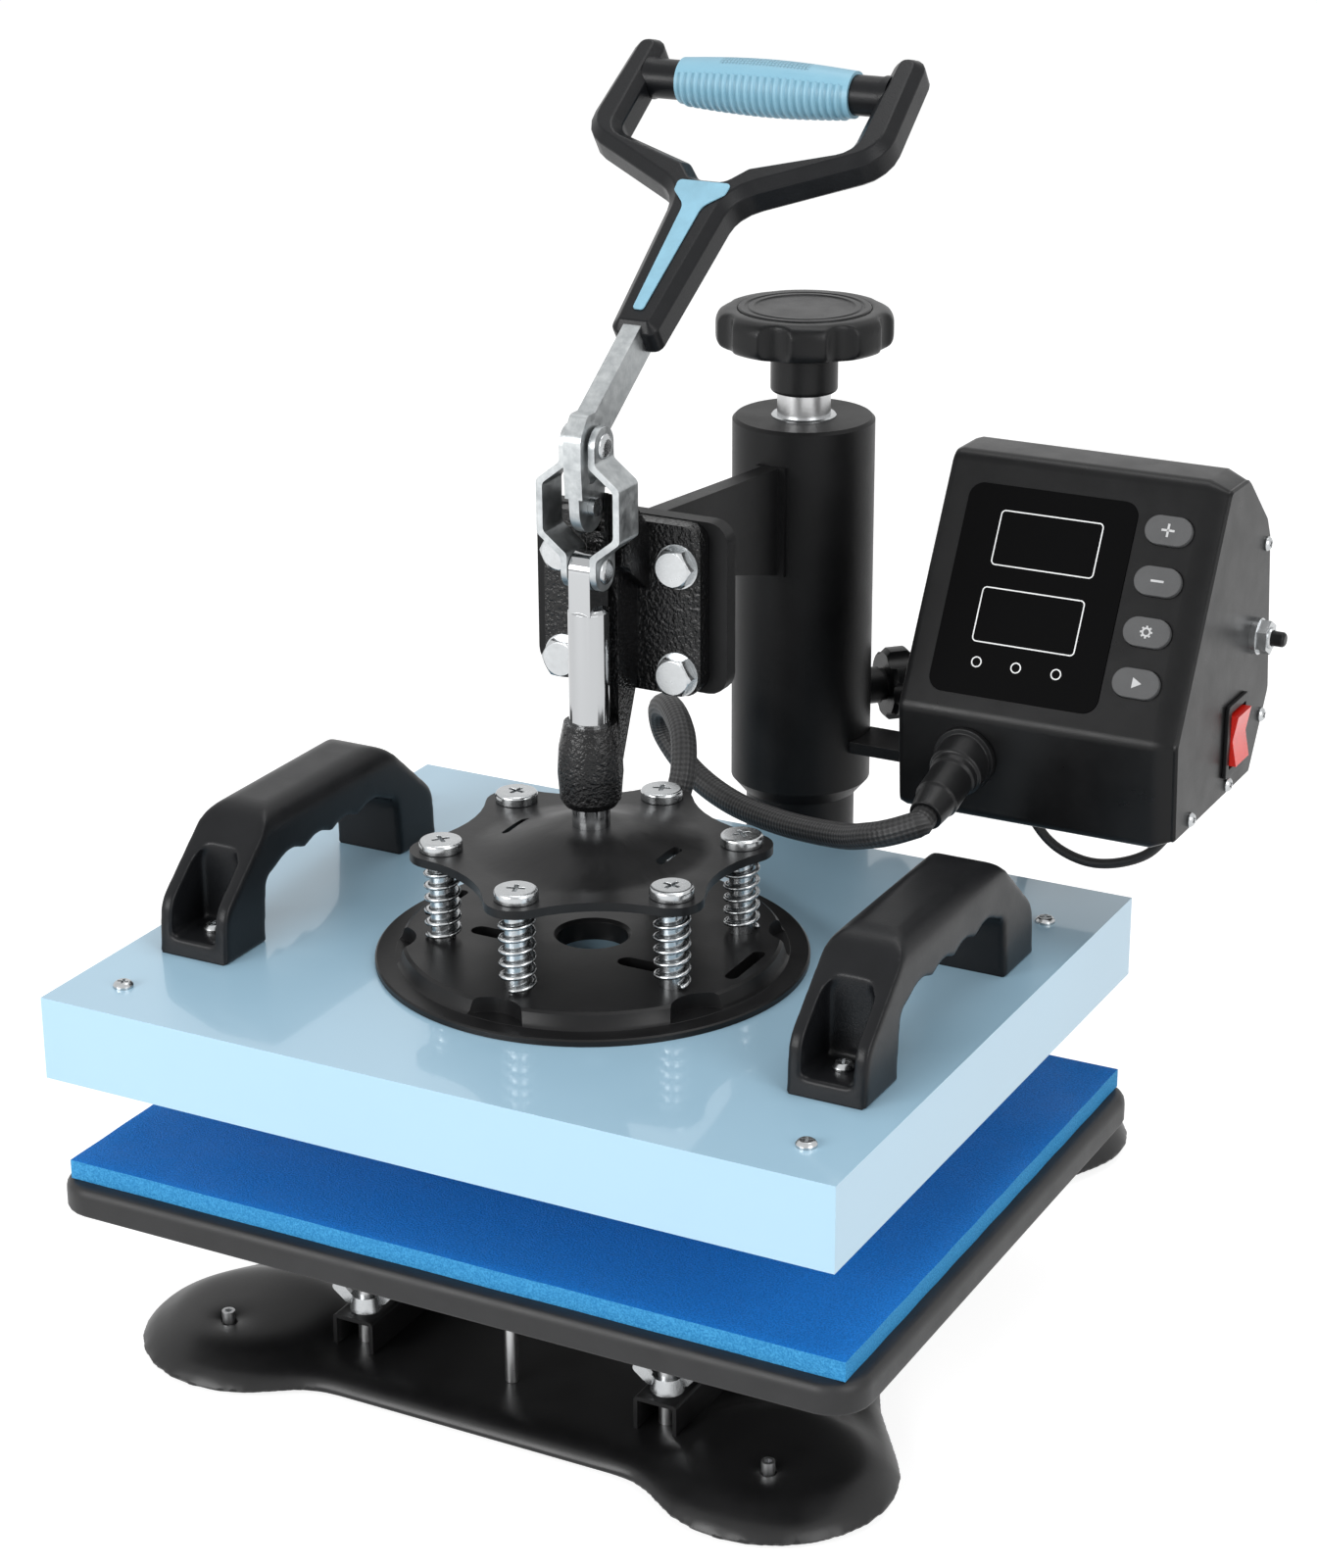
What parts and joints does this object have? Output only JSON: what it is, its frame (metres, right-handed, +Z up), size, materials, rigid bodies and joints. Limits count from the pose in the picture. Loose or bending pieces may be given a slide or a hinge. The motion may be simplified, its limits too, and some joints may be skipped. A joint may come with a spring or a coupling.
{
  "type": "swing-away heat press",
  "caption": "Swing-away heat press: toggle lever and sprung spider press a heated platen onto a padded lower platen, on a column with pressure knob and control box.",
  "frame": {"origin": "on the floor, under the middle of the press's bounding box", "axes": "+Z up, -Y towards the operator, +X to the operator's right, on the control box's side"},
  "size_m": [0.437, 0.4679, 0.563],
  "materials": {
    "black_enamel": "semi-gloss black enamel",
    "satin_black": "satin black powder coat",
    "bright_zinc": "bright zinc plate",
    "plain_steel": "plain steel",
    "chrome_steel": "polished",
    "brass_nut": "machined",
    "grey_casting": "dark grey paint",
    "blue_foam": "silicone foam",
    "black_rubber": "matte",
    "black_plastic": "fine texture",
    "display_gloss": "gloss",
    "button_grey": "satin",
    "rocker_red": "gloss",
    "blue_plastic": "satin",
    "sky_enamel": "gloss sky-blue enamel",
    "bare_aluminium": "machined",
    "insulation_wool": "mineral wool",
    "board_green": "circuit board",
    "braided_sleeve": "braided"
  },
  "bodies": {
    "stand": {"base_plate": "black_enamel", "rubber_feet": "black_rubber", "foot_screws": "plain_steel", "rail_left": "black_enamel", "rail_right": "black_enamel", "platen_studs": "plain_steel", "wing_nuts": "bright_zinc", "support_rod": "plain_steel", "column_post": "satin_black", "post_bolts": "bright_zinc", "screw_nut": "brass_nut", "lower_platen": "grey_casting", "silicone_pad": "blue_foam"},
    "lift_carriage": {"thrust_bearing": "bright_zinc"},
    "pressure_knob": {"pressure_knob": "black_plastic", "knob_cap": "black_plastic", "pressure_screw": "plain_steel"},
    "swing_arm": {"column_sleeve": "satin_black", "arm_bracket": "satin_black", "press_bracket": "black_enamel", "bracket_bolts": "bright_zinc", "pivot_pin": "bright_zinc", "box_arm": "satin_black", "box_shell": "black_plastic", "box_side_panel": "black_enamel", "display_panel": "display_gloss", "switch_bezel": "black_plastic", "breaker_body": "black_plastic", "box_screws": "bright_zinc", "cable_plug": "black_rubber", "circuit_board": "board_green", "rear_glands": "black_rubber", "rear_lead": "black_rubber", "heater_cable": "braided_sleeve"},
    "lock_knob": {"lock_knob": "black_plastic"},
    "button_plus": {"button_plus": "button_grey"},
    "button_minus": {"button_minus": "button_grey"},
    "button_set": {"button_set": "button_grey"},
    "button_start": {"button_start": "button_grey"},
    "switch_rocker": {"switch_rocker": "rocker_red"},
    "breaker_button": {"breaker_button": "black_plastic"},
    "lever": {"lever_bar": "bright_zinc", "handle_yoke": "black_plastic", "handle_grip": "blue_plastic", "handle_inlay": "blue_plastic"},
    "links": {"link_left": "bright_zinc", "link_right": "bright_zinc", "link_pins": "bright_zinc"},
    "ram": {"ram": "chrome_steel", "spider_plate": "black_enamel", "press_springs": "plain_steel"},
    "platen": {"shoulder_bolts": "bright_zinc", "mount_disc": "black_enamel", "platen_cover": "sky_enamel", "heat_plate": "bare_aluminium", "insulation": "insulation_wool", "handle_left": "black_plastic", "handle_right": "black_plastic", "cover_screws": "bright_zinc", "cable_gland": "black_rubber"}
  },
  "joints": [
    {"name": "height_slide", "type": "slide", "parent": "stand", "child": "lift_carriage", "axis": [0, 0, 1], "range_m": [-0.007, 0.004]},
    {"name": "knob_turn", "type": "hinge", "parent": "lift_carriage", "child": "pressure_knob", "pos_m": [-0.0215, 0.128, 0.43], "axis": [0, 0, 1], "range_deg": [-634, 364]},
    {"name": "swing_hinge", "type": "hinge", "parent": "lift_carriage", "child": "swing_arm", "pos_m": [-0.0215, 0.128, 0.3], "axis": [0, 0, 1], "continuous": true},
    {"name": "lock_turn", "type": "hinge", "parent": "swing_arm", "child": "lock_knob", "pos_m": [0.0135, 0.163, 0.244], "axis": [0.7071, 0.7071, 0], "range_deg": [-90, 90]},
    {"name": "lever_hinge", "type": "hinge", "parent": "swing_arm", "child": "lever", "pos_m": [-0.0215, -0.0835, 0.395], "axis": [1, 0, 0], "range_deg": [0, 124]},
    {"name": "ram_slide", "type": "slide", "parent": "swing_arm", "child": "ram", "axis": [0, 0, -1], "range_m": [0, 0.03744], "deforming": ["heater_cable"]},
    {"name": "link_hinge", "type": "hinge", "parent": "ram", "child": "links", "pos_m": [-0.0215, -0.0835, 0.367], "axis": [1, 0, 0], "range_deg": [0, 24.11]},
    {"name": "platen_float", "type": "slide", "parent": "ram", "child": "platen", "axis": [0, 0, 1], "range_m": [0, 0.005], "stiffness_N_per_m": 30000, "springref_m": -0.006, "deforming": ["press_springs", "heater_cable"]},
    {"name": "button_plus_press", "type": "slide", "parent": "swing_arm", "child": "button_plus", "axis": [0, 0.8771, -0.4802], "range_m": [0, 0.0012], "stiffness_N_per_m": 800, "springref_m": -0.0005},
    {"name": "button_minus_press", "type": "slide", "parent": "swing_arm", "child": "button_minus", "axis": [0, 0.8771, -0.4802], "range_m": [0, 0.0012], "stiffness_N_per_m": 800, "springref_m": -0.0005},
    {"name": "button_set_press", "type": "slide", "parent": "swing_arm", "child": "button_set", "axis": [0, 0.8771, -0.4802], "range_m": [0, 0.0012], "stiffness_N_per_m": 800, "springref_m": -0.0005},
    {"name": "button_start_press", "type": "slide", "parent": "swing_arm", "child": "button_start", "axis": [0, 0.8771, -0.4802], "range_m": [0, 0.0012], "stiffness_N_per_m": 800, "springref_m": -0.0005},
    {"name": "rocker_tilt", "type": "hinge", "parent": "swing_arm", "child": "switch_rocker", "pos_m": [0.1995, 0.113, 0.265], "axis": [0, 1, 0], "range_deg": [-8, 8]},
    {"name": "breaker_press", "type": "slide", "parent": "swing_arm", "child": "breaker_button", "axis": [-1, 0, 0], "range_m": [0, 0.003], "stiffness_N_per_m": 800, "springref_m": -0.0005}
  ],
  "couplings": [
    {"joint": "ram_slide", "follows": "lever_hinge", "m_per_rad": 0.017252},
    {"joint": "link_hinge", "follows": "lever_hinge", "ratio": 0.19367},
    {"joint": "knob_turn", "follows": "height_slide", "rad_per_m": 1570.8}
  ]
}
